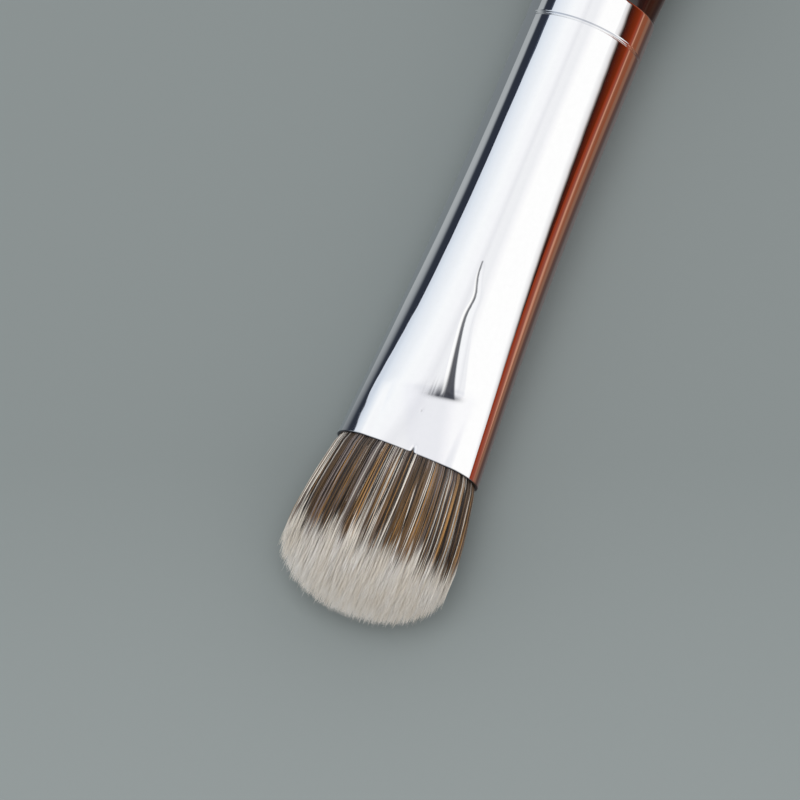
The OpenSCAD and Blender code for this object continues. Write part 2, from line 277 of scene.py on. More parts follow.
def linear(colour):
    """sRGB hex to linear RGBA."""
    parts = [int(colour[i:i + 2], 16) / 255 for i in (1, 3, 5)]
    return [p / 12.92 if p <= 0.04045 else ((p + 0.055) / 1.055) ** 2.4 for p in parts] + [1.0]


def add(tree, kind, settings=None, links=None, stops=()):
    """Adds a node. Settings are properties, or input values by name or number, links are the sockets that
    feed it, and stops are the places and colours along its ramp."""
    node = tree.nodes.new(kind)
    for name, value in (settings or {}).items():
        if isinstance(name, str) and hasattr(node, name):
            setattr(node, name, value)
        else:
            node.inputs[name].default_value = value
    for name, source in (links or {}).items():
        tree.links.new(source, node.inputs[name])
    if stops:
        elements = node.color_ramp.elements
        while len(elements) < len(stops):
            elements.new(1.0)
        for element, (place, colour) in zip(elements, stops):
            element.position = place
            element.color = linear(colour)
    return node


def blank_material(name):
    """A new material and its node tree, emptied."""
    made = bpy.data.materials.new(name)
    made.use_nodes = True
    made.node_tree.nodes.clear()
    return made, made.node_tree


def ease(value, low, high):
    """Rises smoothly from 0 to 1 while value goes from low to high."""
    t = np.clip((value - low) / (high - low), 0, 1)
    return t * t * (3 - 2 * t)


def press_at(back):
    """How far the tube is pressed at a distance behind its mouth: a power of the way to the round stretch."""
    return MOUTH_PRESS * np.maximum(0, 1 - back / PRESS_LENGTH) ** PRESS_FADE_POWER


def wall_angle(phase, press):
    """Direction of the pressed wall: the phase, less two waves that take curvature from the faces to the
    edges."""
    return phase - press / 2 * np.sin(2 * phase) - SQUARE_SHARE * press ** 2 / 4 * np.sin(4 * phase)


def pressed_wall(back, inset, phase):
    """Places of the pressed tube before the jaws mark it: how far behind the mouth, how far across and how
    high, and the wall's angle there. Each ring walks round along the wall's angles, so that it keeps the
    girth of the round tube, and is then drawn in from the outside by an inset."""
    press = press_at(back)[:, None]
    step = np.diff(np.append(phase, phase[0] + 2 * np.pi))
    heading = wall_angle(phase + step / 2, press)
    steps = step[:, None] * np.stack([np.cos(heading), np.sin(heading)], -1)
    walk = np.concatenate([np.zeros_like(steps[:, :1]), np.cumsum(steps, 1)[:, :-1]], 1)
    half = len(phase) // 2
    walk = (walk - (walk[:, :1] + walk[:, half:half + 1]) / 2) * FERRULE_R
    turn = wall_angle(phase, press)
    at = walk - inset[:, None, None] * np.stack([np.sin(turn), -np.cos(turn)], -1)
    across, height = at[..., 0], at[..., 1]
    return np.broadcast_to(back[:, None], across.shape), across, height, turn


def pad_end(across):
    """How far behind the mouth the pad ends: a straight line, slanted across the face."""
    return PAD_LENGTH + PAD_SLANT * across


def jaw_pad(behind, across):
    """1 on the jaws' pad, falling smoothly to 0 past its end and past its sides."""
    end = pad_end(across)
    aside = np.abs(across + PAD_OFFSET)
    return (1 - ease(behind, end, end + PAD_END_EDGE)) * (
        1 - ease(aside, PAD_WIDTH / 2 - PAD_SIDE_EDGE, PAD_WIDTH / 2 + PAD_SIDE_EDGE))


def along_fold(behind, across):
    """The share of the fold's length from the pad's end up to a place, the share that remains, and how far
    right of the fold's valley the place lies. The valley leans by a power of what remains and has one
    bell-shaped bend."""
    share = (behind - pad_end(across)) / FOLD_LENGTH
    remaining = np.clip(1 - share, 0, 1)
    lean = FOLD_LEAN * remaining ** FOLD_LEAN_POWER
    bend = FOLD_BEND * np.exp(-((remaining - FOLD_BEND_PLACE) / FOLD_BEND_SPREAD) ** 2)
    return share, remaining, across - (FOLD_TIP + lean + bend)


def pit_and_nick(behind, across, height):
    """1 in the middle of the pit, and of the nick where it meets the mouth's edge, falling off as bells. Both
    belong to the upper face."""
    pit = np.exp(-((behind - PIT_BACK) ** 2 + (across - PIT_ACROSS) ** 2) / PIT_RADIUS ** 2)
    nick = np.exp(-((across - NICK_ACROSS) / NICK_WIDTH) ** 2) * (1 - ease(behind, 0, NICK_LENGTH))
    return np.where(height > 0, pit, 0), nick * (height > 0)


def marked_skin(behind, across, height, turn):
    """The wall's points when the jaws' pads, the fold, the pit and the nick have pushed them in. The fold has
    a steep narrow left flank and a broad curved right one, and is deepest at the pad."""
    dent = PAD_DEPTH * jaw_pad(behind, across) * np.abs(np.cos(turn))
    share, remaining, off = along_fold(behind, across)
    left_width = LEFT_FLANK_TIP + LEFT_FLANK_GAIN * remaining ** LEFT_FLANK_POWER
    right_width = RIGHT_FLANK_TIP + RIGHT_FLANK_GAIN * remaining
    flank = np.where(off < 0, np.clip(1 + off / left_width, 0, 1),
                     np.clip(1 - off / right_width, 0, 1) ** RIGHT_FLANK_CURVE)
    foot = ease(share, 0, FOLD_FOOT_SHARE)
    dent = dent + np.where(height > 0, FOLD_DEPTH * remaining ** FOLD_DEPTH_POWER * foot * flank, 0)
    pit, nick = pit_and_nick(behind, across, height)
    dent = dent + PIT_DEPTH * pit + NICK_DEPTH * nick
    recess = NICK_RECESS * nick * (1 - ease(behind, 0, NICK_RECESS_LENGTH))
    return np.stack([-behind - recess, across, height - np.sign(height) * dent], -1)


def painted_shade_and_smears(behind, across, height):
    """How dark the upper face is painted, from 0 to 1: at each place the darkest of the fold's line, the
    smear, the streaks, the pit and the nick. The line, the pit and the nick are painted shade. The line is
    widest at the pad, where it also flares, and the smear and the streaks are bells along the brush that fade
    to both sides. The streaks come and go as a drifting sine."""
    share, remaining, off = along_fold(behind, across)
    past = np.maximum(share, 0)
    foot = ease(share, *FOOT_EDGE)
    width = LINE_TIP + LINE_GAIN * remaining ** 2 + LINE_FLARE * np.exp(-past / LINE_FLARE_SHARE)
    line = (1 - ease(-off, width * LINE_LEFT_EDGE[0], width * LINE_LEFT_EDGE[1])) * (
        1 - ease(off, width * LINE_RIGHT_EDGE[0], width * LINE_RIGHT_EDGE[1]))
    line = line * (remaining > 0) * foot * (LINE_DARK_AT_TIP + LINE_DARK_GAIN * remaining)
    smear = np.exp(-((behind - pad_end(across) - SMEAR_BACK) / SMEAR_SPREAD) ** 2) * ease(
        across, *SMEAR_LEFT_EDGE) * (1 - ease(across, *SMEAR_RIGHT_EDGE))
    drift = STREAK_DRIFT * np.sin(across * STREAK_DRIFT_TURNS)
    streaks = STREAK_MIDDLE + STREAK_SWING * np.sin(across * STREAK_TURNS + drift)
    streaked = np.exp(-(past / (STREAKED_SHARE + STREAKED_SHARE_GAIN * streaks)) ** 2) * foot * ease(
        across, *STREAKED_LEFT_EDGE) * (1 - ease(across, *STREAKED_RIGHT_EDGE)) * streaks
    pit, nick = pit_and_nick(behind, across, height)
    dark = np.maximum.reduce([line, SMEAR_DARK * smear, STREAKED_DARK * streaked, PIT_DARK * pit,
                              ease(nick, *NICK_DARK_EDGE) * NICK_DARK])
    return np.where(height > 0, dark, 0)


def dulled_pad(behind, across, height):
    """How dull the upper pad is, from 0 to 1: the pad times a level that rises across a slanted line."""
    worn = jaw_pad(behind, across) * (DULL_LEAST + DULL_GAIN * ease(across + DULL_SLANT * behind, *DULL_EDGE))
    return np.where(height > 0, worn, 0)


def grid_faces(rows, count):
    """Faces between rows of points, each row closed into a ring."""
    r = np.arange(rows - 1)[:, None]
    k = np.arange(count)[None, :]
    a = r * count + k
    b = r * count + (k + 1) % count
    return np.stack([a, b, b + count, a + count], -1).reshape(-1, 4)


def mesh_piece(name, points, faces, replaced, values=None):
    """Makes a smooth piece that rides on the brush, stands for CAD nodes and carries values."""
    mesh = bpy.data.meshes.new(name)
    mesh.from_pydata(points.tolist(), [], faces)
    mesh.shade_smooth()
    for key, value in (values or {}).items():
        attribute = mesh.attributes.new(key, "FLOAT", "POINT")
        attribute.data.foreach_set("value", np.ascontiguousarray(value, dtype=np.float32).ravel())
    piece = bpy.data.objects.new(name, mesh)
    bpy.context.scene.collection.objects.link(piece)
    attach(piece, "root")
    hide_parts(*replaced)
    return piece


def plated_ferrule():
    """One closed skin: out along the outer wall from the mouth to the rolled rim, and back along the bore.
    The lip and the rim are quarter circles and the groove is one wave of a cosine. A sine in the phase draws
    the points of each ring together towards the middle of the upper face."""
    count = RING_POINTS
    u = np.arange(count) / count
    phase = 2 * np.pi * u + FACE_CROWDING * np.sin(2 * np.pi * u)
    fine = np.concatenate([np.linspace(*stretch) for stretch in OUTER_STRETCHES] + [BEFORE_GROOVE])
    wave = np.linspace(-1, 1, GROOVE_ROWS)
    dip = GROOVE_DEPTH * (1 + np.cos(np.pi * wave)) / 2
    quarter = np.radians(np.linspace(0, 90, ROUND_ROWS))
    outer_back = np.concatenate([
        (LIP - LIP * np.sin(quarter))[::-1], fine, GROOVE_BACK + GROOVE_WIDTH / 2 * wave, AFTER_GROOVE,
        FERRULE_LENGTH - RIM_ROUND + RIM_ROUND * np.sin(quarter)])
    outer_inset = np.concatenate([
        (LIP - LIP * np.cos(quarter))[::-1], np.zeros(len(fine)), dip, np.zeros(len(AFTER_GROOVE)),
        RIM_ROUND - RIM_ROUND * np.cos(quarter)])
    bore = np.concatenate([np.linspace(*stretch) for stretch in BORE_STRETCHES])
    back = np.concatenate([outer_back, [FERRULE_LENGTH], GROOVE_BACK - GROOVE_WIDTH / 2 * wave, bore])
    inset = np.concatenate([outer_inset, [WALL], WALL + dip, np.full(len(bore), WALL)])
    behind, across, height, turn = pressed_wall(back, inset, phase)
    skin = marked_skin(behind, across, height, turn)
    # The bore and the cut edge of the mouth are painted dark as shade, and the marks lie outside
    rows = len(back)
    outside = (np.arange(rows) < len(outer_back))[:, None]
    edge = np.where(outside, 1 - ease(back, *CUT_EDGE)[:, None], 1.0)
    dark = np.where(outside, painted_shade_and_smears(behind, across, height), 0)
    dark = np.maximum(dark, edge * np.where(outside, CUT_EDGE_DARK, 1))
    # The last row closes on the first
    k = np.arange(count)
    following = (k + 1) % count
    last = (rows - 1) * count
    closing = np.stack([last + k, last + following, following, k], -1)
    faces = np.concatenate([grid_faces(rows, count), closing])[:, ::-1]
    values = {"shade_and_smears": dark, "jaw_mark": dulled_pad(behind, across, height) * outside}
    return mesh_piece(
        "plated_ferrule", laid(skin).reshape(-1, 3), faces.tolist(), ["ferrule"], values)


def handle_radius(away):
    """Radius at a distance from the ferrule's rim: a quarter wave up to the belly, then half a wave to the
    tail."""
    rise = np.clip(away / BELLY_INSET, 0, 1) ** FLARE_POWER
    flare = SHOULDER_R + (BELLY_R - SHOULDER_R) * np.sin(np.pi / 2 * rise)
    along = np.clip((away - BELLY_INSET) / (HANDLE_LENGTH - TAIL_ROUND - BELLY_INSET), 0, 1) ** WAIST_POWER
    waist = (BELLY_R + TAIL_R) / 2 + (BELLY_R - TAIL_R) / 2 * np.cos(np.pi * along)
    return np.where(away < BELLY_INSET, flare, waist)


def lacquered_handle():
    """A profile turned about the brush's axis: the stepped tenon with its notch, the shoulder, the belly and
    the round tail. Each sharp corner has a close row on both sides of it, and a point closes each end."""
    count = HANDLE_POINTS
    notch = -GROOVE_BACK
    corners = [
        (TENON_X, TENON_R - TENON_CHAMFER), (TENON_X - TENON_CHAMFER, TENON_R), (notch + NOTCH_HALF, TENON_R),
        (notch + NOTCH_HALF, NOTCH_R), (notch - NOTCH_HALF, NOTCH_R), (notch - NOTCH_HALF, TENON_R),
        (-FERRULE_LENGTH, TENON_R)]
    path = np.array([(TENON_X, 0.0)] + corners + [(-FERRULE_LENGTH, SHOULDER_R - SKIN_ALLOWANCE)])
    step = np.diff(path, axis=0)
    step = step / np.linalg.norm(step, axis=1, keepdims=True) * CORNER_GAP
    inner = np.stack([path[1:-1] - step[:-1], path[1:-1], path[1:-1] + step[1:]], 1).reshape(-1, 2)
    away = np.linspace(HANDLE_FIRST_ROW, HANDLE_LENGTH - TAIL_ROUND, HANDLE_ROWS)
    away = np.concatenate([[CORNER_GAP], away])
    skin = np.stack([-FERRULE_LENGTH - away, handle_radius(away) - SKIN_ALLOWANCE], -1)
    turn = np.radians(np.linspace(0, 90, TAIL_ROWS)[1:-1])
    tail = np.stack([-FERRULE_LENGTH - HANDLE_LENGTH + TAIL_ROUND * (1 - np.sin(turn)),
                     (TAIL_R - SKIN_ALLOWANCE) * np.cos(turn)], -1)
    profile = np.concatenate([[path[0] + step[0]], inner, [path[-1] - step[-1], path[-1]], skin, tail])
    around = np.arange(count) * 2 * np.pi / count
    rows = len(profile)
    x = np.broadcast_to(profile[:, :1], (rows, count))
    y, z = profile[:, 1:] * np.sin(around), -profile[:, 1:] * np.cos(around)
    points = np.stack([x, y, z], -1).reshape(-1, 3)
    ends = np.array([(TENON_X, 0, 0), (-FERRULE_LENGTH - HANDLE_LENGTH + TAIL_POINT, 0, 0)])
    k = np.arange(count)
    following = (k + 1) % count
    last_row = (rows - 1) * count
    front_fan = np.stack([np.full(count, rows * count), following, k], -1)
    tail_fan = np.stack([np.full(count, rows * count + 1), last_row + k, last_row + following], -1)
    groups = (grid_faces(rows, count), front_fan, tail_fan)
    faces = [face for group in groups for face in group[:, ::-1].tolist()]
    points = np.concatenate([points, ends])
    return mesh_piece("lacquered_handle", laid(points), faces, ["handle"])


def hair_in_mouth(place):
    """Where a place of the unit disc lies in the room of the mouth: its reach times the outline in its
    direction. Also the room's half width and half height."""
    phase = np.arange(RING_POINTS) * 2 * np.pi / RING_POINTS
    wall = pressed_wall(np.array([ROOT_RING_BACK]), np.array([WALL + ROOT_GAP]), phase)
    ring = marked_skin(*wall)[0][:, 1:]
    # The ring starts at the bottom, a quarter turn before the right
    at = (np.arctan2(place[:, 1], place[:, 0]) / (2 * np.pi) + 0.25) % 1 * len(ring)
    low = np.floor(at).astype(int) % len(ring)
    part = (at - np.floor(at))[:, None]
    outline = ring[low] * (1 - part) + ring[(low + 1) % len(ring)] * part
    return np.linalg.norm(place, axis=-1)[:, None] * outline, np.abs(ring).max(0)


def strand_paths(rng):
    """How far out the rings of each strand lie, and where across and up. Strands rise from even places in the
    mouth, flare as they leave it and swell outwards as a sine of their distance, up to a dome that is half an
    ellipse."""
    # Even places on the disc by the sunflower rule, shaken a little
    index = np.arange(STRANDS) + 0.5
    turn = index * np.pi * (1 + 5 ** 0.5)
    place = np.sqrt(index / STRANDS)[:, None] * np.stack([np.cos(turn), np.sin(turn)], -1)
    place = place + rng.normal(0, PLACE_SHAKE, place.shape)
    place = place / np.maximum(1, np.linalg.norm(place, axis=-1, keepdims=True) / PLACE_RIM)
    foot, room = hair_in_mouth(place)
    reach = np.linalg.norm(place, axis=-1)
    crown = (HAIR_LENGTH - HAIR_SHOULDER) * np.sqrt(np.maximum(0, 1 - reach ** 2))
    top = HAIR_SHOULDER + crown + rng.normal(TIP_SHIFT, TIP_SHAKE, STRANDS)
    top = np.minimum(top, HAIR_LENGTH + TIP_SPARE)
    out = -ROOT_RECESS + (top[:, None] + ROOT_RECESS) * RING_SHARES[None, :]
    swell = np.sin(np.pi / 2 * np.clip(out / HAIR_SHOULDER, 0, 1))[..., None]
    flare = HAIR_FLARE * ease(out, *HAIR_FLARE_EDGE)[..., None] * (1 - swell)
    gain = 1 + (np.array([HAIR_HALF_WIDTH, HAIR_HALF_DEPTH]) / room - 1) * swell + flare / room
    return out, foot[:, None, :] * gain


def hair_pieces(rng):
    """The tuft in pieces of equal size. Near their tips the strands wander, as a power of their distance out,
    and draw together in small locks. Each strand is a tapering tube with four sides."""
    rings, sides = STRAND_RINGS, STRAND_SIDES
    out, path = strand_paths(rng)
    lifted = np.clip(out, 0, None)[..., None] / HAIR_LENGTH
    wander = rng.normal(0, WANDER, (STRANDS, 1, 2))
    wander = wander * np.where(rng.random(STRANDS) < STRAY_SHARE, STRAY_GAIN, 1.0)[:, None, None]
    path = path + wander * lifted ** WANDER_POWER
    # Locks of strands that lie together and share a tone
    heart = rng.choice(STRANDS, LOCKS, replace=False)
    heart_tip = path[heart, -1]
    apart = ((path[:, None, -1] - heart_tip[None]) ** 2).sum(-1)
    lock = np.argmin(apart, 1)
    distance = np.sqrt(apart[np.arange(STRANDS), lock])
    path = path + LOCK_PULL * (heart_tip[lock] - path[:, -1])[:, None, :] * lifted ** LOCK_PULL_POWER
    # No strand leaves the room that the hair has on the table
    path = np.clip(path, -np.array(HAIR_ROOM), np.array(HAIR_ROOM))
    line = np.concatenate([out[..., None], path], -1)
    lock_kind = rng.choice(KINDS, LOCKS, p=KIND_WEIGHTS)
    follows = rng.random(STRANDS) < LOCK_KIND_SHARE
    kind = np.where(follows, lock_kind[lock], rng.choice(KINDS, STRANDS, p=KIND_WEIGHTS))
    radius = STRAND_RADIUS * rng.uniform(*RADIUS_RANGE, STRANDS) * np.where(kind == KINDS - 1, PALE_GAIN, 1.0)
    thick = radius[:, None] * np.interp(RING_SHARES, TAPER_SHARES, TAPER)[None, :]
    spin = rng.uniform(0, 2 * np.pi, STRANDS)[:, None, None] + np.arange(sides) * 2 * np.pi / sides
    ring = np.stack([np.zeros_like(spin), np.cos(spin), np.sin(spin)], -1)
    points = line[:, :, None, :] + ring * thick[:, :, None, None]
    tone = np.clip(LOCK_TONE * rng.random(LOCKS)[lock] + OWN_TONE * rng.random(STRANDS), 0, 1)
    # The dark dye ends in points, furthest out in the middle of each lock
    turnover = TURNOVER + rng.normal(0, TURNOVER_LOCK_SHAKE, LOCKS)[lock] - TURNOVER_SLOPE * distance
    turnover = turnover + rng.normal(0, TURNOVER_SHAKE, STRANDS)
    pieces = []
    for number, group in enumerate(np.array_split(rng.permutation(STRANDS), HAIR_PIECES)):
        base = (np.arange(len(group)) * rings * sides)[:, None]
        tubes = (grid_faces(rings, sides)[None] + base[..., None]).reshape(-1, 4)
        tips = np.arange(sides)[None] + (rings - 1) * sides + base
        feet = np.arange(sides)[::-1][None] + base
        values = {"hair_out": np.repeat(out[group][:, :, None], sides, 2)}
        for key, value in (("hair_kind", kind), ("hair_tone", tone), ("hair_turnover", turnover)):
            values[key] = np.repeat(value[group], rings * sides)
        faces = np.concatenate([tubes, tips, feet]).tolist()
        name = f"hair_{number + 1}"
        pieces.append(mesh_piece(
            name, laid(points[group]).reshape(-1, 3), faces, ["bristle_tuft"], values))
    return pieces


def filament_material():
    """Tapered synthetic filament, dyed in bands as badger hair grows: roots from near black to ochre, and
    cream tips. About one filament in nine is left pale all along, and these draw the thin light streaks."""
    made, tree = blank_material("dyed_filament")
    out, kind, tone, turnover = [
        add(tree, "ShaderNodeAttribute", {"attribute_name": name}).outputs["Fac"]
        for name in ("hair_out", "hair_kind", "hair_tone", "hair_turnover")]
    # The dye gives way to cream over 1.3 mm
    past = add(tree, "ShaderNodeMath", {"operation": "SUBTRACT"}, {0: out, 1: turnover}).outputs[0]
    pale = add(tree, "ShaderNodeMapRange", {
        "interpolation_type": "SMOOTHSTEP", "From Min": -0.35, "From Max": 0.95}, {"Value": past}).outputs[0]
    # Each kind has its own stretch of two stepped ramps, plain at the roots and golden in the ochre band
    place = add(tree, "ShaderNodeMath", {"operation": "MULTIPLY_ADD", 1: 1 / KINDS, 2: 0.5 / KINDS},
                {0: kind}).outputs[0]
    plain = add(tree, "ShaderNodeValToRGB", links={"Fac": place}, stops=[
        (0.0, "#2b2827"), (0.2, "#5a4d43"), (0.4, "#7a706d"), (0.6, "#86705a"), (0.8, "#c9c3bb")])
    golden = add(tree, "ShaderNodeValToRGB", links={"Fac": place}, stops=[
        (0.0, "#2e2724"), (0.2, "#674f35"), (0.4, "#7a6f6b"), (0.6, "#a97f4b"), (0.8, "#cfc8be")])
    plain.color_ramp.interpolation = golden.color_ramp.interpolation = "CONSTANT"
    # The ochre band lies from about 1.5 to 6 mm out, on a curve whose places are shares of 7 mm
    band = add(tree, "ShaderNodeMapRange", {"From Max": 7.0}, {"Value": out}).outputs[0]
    gold = add(tree, "ShaderNodeFloatCurve", links={"Value": band})
    curve = gold.mapping.curves[0]
    for point in curve.points:
        point.location = (point.location[0], 0.0)
    curve.points.new(0.35, 0.8)
    curve.points.new(0.65, 1.0)
    gold.mapping.update()
    root = add(tree, "ShaderNodeMix", {"data_type": "RGBA"}, {
        0: gold.outputs[0], 6: plain.outputs["Color"], 7: golden.outputs["Color"]}).outputs[2]
    # Dye takes unevenly, in patches about 2.5 mm long and 0.3 mm wide
    where = add(tree, "ShaderNodeTexCoord").outputs["Object"]
    patches = add(tree, "ShaderNodeMapping", {"Scale": (400.0, 3300.0, 3300.0)}, {"Vector": where}).outputs[0]
    uneven = add(tree, "ShaderNodeTexNoise", {"Scale": 1.0, "Detail": 2.0},
                 {"Vector": patches}).outputs["Fac"]
    dyed = add(tree, "ShaderNodeMath", {"operation": "MULTIPLY_ADD", 1: 1.5, 2: -0.75},
               {0: uneven}).outputs[0]
    toned = add(tree, "ShaderNodeMath", {"operation": "ADD"}, {0: tone, 1: dyed}).outputs[0]
    shade = add(tree, "ShaderNodeMapRange", {"To Min": 0.65, "To Max": 1.35}, {"Value": toned}).outputs[0]
    shaded = add(tree, "ShaderNodeVectorMath", {"operation": "SCALE"}, {0: root, "Scale": shade}).outputs[0]
    tip = add(tree, "ShaderNodeValToRGB", links={"Fac": tone}, stops=[
        (0.0, "#ddd4c6"), (0.35, "#ece5da"), (0.7, "#f4f0ea"), (1.0, "#ebe9e6")])
    mix = add(tree, "ShaderNodeMix", {"data_type": "RGBA"}, {0: pale, 6: shaded, 7: tip.outputs["Color"]})
    shader = add(tree, "ShaderNodeBsdfPrincipled", {"Roughness": 0.45, "IOR": 1.5},
                 {"Base Color": mix.outputs[2]})
    add(tree, "ShaderNodeOutputMaterial", links={"Surface": shader.outputs[0]})
    return made


def plating_material():
    """Bright nickel on drawn brass, buffed: it mirrors the room in crisp bands that a slow ripple of the
    drawn tube bends a little. The jaws leave their pad a touch duller. Painted shade darkens the fold, pit,
    nick, cut edge and bore, and dark smears and streaks lie at the fold's foot."""
    made, tree = blank_material("buffed_nickel_plating")
    shade_and_smears, jaw_mark = [add(tree, "ShaderNodeAttribute", {"attribute_name": name}).outputs["Fac"]
                         for name in ("shade_and_smears", "jaw_mark")]
    where = add(tree, "ShaderNodeTexCoord").outputs["Object"]
    # Buffing hairs 0.05 mm apart, too fine to show but as a faint veil; drawn at 0.4 mm
    veil = add(tree, "ShaderNodeTexNoise", {"Scale": 2500.0, "Detail": 3.0}, {"Vector": where}).outputs["Fac"]
    bright = add(tree, "ShaderNodeMapRange", {"To Min": 0.97, "To Max": 1.0}, {"Value": veil}).outputs[0]
    worked = add(tree, "ShaderNodeMix", {"data_type": "RGBA", 6: linear("#f8f8f8"), 7: linear("#f3f3f5")},
                 {0: jaw_mark}).outputs[2]
    veiled = add(tree, "ShaderNodeVectorMath", {"operation": "SCALE"},
                 {0: worked, "Scale": bright}).outputs[0]
    # Painted shade: the fold, pit, nick, cut edge and bore turn near black, as do the smear and streaks
    colour = add(tree, "ShaderNodeMix", {"data_type": "RGBA", 7: linear("#2a2e3a")},
                 {0: shade_and_smears, 6: veiled}).outputs[2]
    polish = add(tree, "ShaderNodeMath", {"operation": "MULTIPLY_ADD", 1: 0.05, 2: 0.035},
                 {0: jaw_mark}).outputs[0]
    rough = add(tree, "ShaderNodeMath", {"operation": "MULTIPLY_ADD", 1: 0.4},
                {0: shade_and_smears, 2: polish}).outputs[0]
    # The tube's ripple is about 2 mm from crest to crest and 0.006 mm deep
    ripple = add(tree, "ShaderNodeTexNoise", {"Scale": 450.0, "Detail": 1.0},
                 {"Vector": where}).outputs["Fac"]
    bump = add(tree, "ShaderNodeBump", {"Strength": 1.0, "Distance": 0.000006}, {"Height": ripple}).outputs[0]
    shader = add(tree, "ShaderNodeBsdfPrincipled", {"Metallic": 1.0},
                 {"Base Color": colour, "Roughness": rough, "Normal": bump})
    add(tree, "ShaderNodeOutputMaterial", links={"Surface": shader.outputs[0]})
    return made


def lacquer_material():
    """Birch, stained and dipped in many coats of dark brown lacquer: near black, with a warm grain that only
    just shows through, and a deep clear gloss that rolls slowly over the wood."""
    made, tree = blank_material("gloss_lacquer_on_birch")
    where = add(tree, "ShaderNodeTexCoord").outputs["Object"]
    # Grain lines about 0.4 mm apart and 12 mm long, along the handle
    lines = add(tree, "ShaderNodeMapping", {"Scale": (80.0, 2400.0, 2400.0)}, {"Vector": where}).outputs[0]
    grain = add(tree, "ShaderNodeTexNoise", {
        "Scale": 1.0, "Detail": 5.0, "Roughness": 0.6, "Distortion": 0.3}, {"Vector": lines}).outputs["Fac"]
    colour = add(tree, "ShaderNodeValToRGB", links={"Fac": grain}, stops=[
        (0.3, "#120808"), (0.52, "#1d0d0b"), (0.7, "#2c1510")]).outputs["Color"]
    # The gloss rolls about 4 mm from crest to crest and 0.012 mm deep
    slow = add(tree, "ShaderNodeTexNoise", {"Scale": 260.0, "Detail": 2.0}, {"Vector": where}).outputs["Fac"]
    bump = add(tree, "ShaderNodeBump", {"Strength": 1.0, "Distance": 0.000012}, {"Height": slow}).outputs[0]
    rough = add(tree, "ShaderNodeMapRange", {"To Min": 0.3, "To Max": 0.45}, {"Value": grain}).outputs[0]
    shader = add(tree, "ShaderNodeBsdfPrincipled", {
        "IOR": 1.5, "Specular IOR Level": 0.15, "Coat Weight": 1.0, "Coat Roughness": 0.03, "Coat IOR": 1.5},
        {"Base Color": colour, "Roughness": rough, "Normal": bump, "Coat Normal": bump})
    add(tree, "ShaderNodeOutputMaterial", links={"Surface": shader.outputs[0]})
    return made


def hidden_material(name, low, high, scale, stretch, roughness, depth):
    """A mottled surface for what lies inside the ferrule: two tones mixed by noise, which also raises it a
    little."""
    made, tree = blank_material(name)
    where = add(tree, "ShaderNodeTexCoord").outputs["Object"]
    placed = add(tree, "ShaderNodeMapping", {"Scale": stretch}, {"Vector": where}).outputs[0]
    noise = add(tree, "ShaderNodeTexNoise", {"Scale": scale, "Detail": 4.0},
                {"Vector": placed}).outputs["Fac"]
    colour = add(tree, "ShaderNodeValToRGB", links={"Fac": noise}, stops=[(0.3, low), (0.7, high)])
    bump = add(tree, "ShaderNodeBump", {"Strength": 1.0, "Distance": depth}, {"Height": noise}).outputs[0]
    shader = add(tree, "ShaderNodeBsdfPrincipled", {"Roughness": roughness, "IOR": 1.5},
                 {"Base Color": colour.outputs["Color"], "Normal": bump})
    add(tree, "ShaderNodeOutputMaterial", links={"Surface": shader.outputs[0]})
    return made


def camera_axes():
    """The camera's right, up and backward directions and its place. The picture's down is along the brush,
    turned by the roll, and the view is turned so that the aim point falls on its pixel."""
    toward = np.array([math.sin(TILT) * math.cos(YAW), math.sin(YAW), math.cos(TILT) * math.cos(YAW)])
    toward = toward / np.linalg.norm(toward)
    along = np.array([1.0, 0, 0]) - toward[0] * toward
    along = along / np.linalg.norm(along)
    across = np.cross(toward, along)
    right = math.cos(ROLL) * across - math.sin(ROLL) * along
    down = math.sin(ROLL) * across + math.cos(ROLL) * along
    offset = (np.array(AIM_PIXEL) - IMAGE / 2) / FOCAL_PIXELS
    look = -toward - offset[0] * right - offset[1] * down
    look = look / np.linalg.norm(look)
    up = -down + np.dot(down, look) * look
    up = up / np.linalg.norm(up)
    cos, sin = math.cos(REST_ANGLE), math.sin(REST_ANGLE)
    lay = np.array([[cos, 0, -sin], [0, 1, 0], [sin, 0, cos]])
    return lay @ np.stack([np.cross(look, up), up, -look], -1), laid(np.array(AIM) + DISTANCE * toward)


def photo_camera():
    """Makes the camera that sees the brush as the photograph does."""
    axes, place = camera_axes()
    camera = bpy.data.objects.new("camera", bpy.data.cameras.new("camera"))
    camera.data.sensor_width = SENSOR
    camera.data.lens = FOCAL_PIXELS * SENSOR / IMAGE
    camera.data.clip_start = CLIP_NEAR
    camera.data.clip_end = CLIP_FAR
    camera.matrix_world = Matrix.Translation(Vector(place)) @ Matrix(axes.tolist()).to_4x4()
    bpy.context.scene.collection.objects.link(camera)
    bpy.context.scene.camera = camera


def level(height, outline):
    """Corners of a card that lies level at a height: pairs of places along and across."""
    return [(x, y, height) for x, y in outline]


def upright(across, outline):
    """Corners of a card that stands upright at a place across: pairs of places along and heights."""
    return [(x, across, z) for x, z in outline]


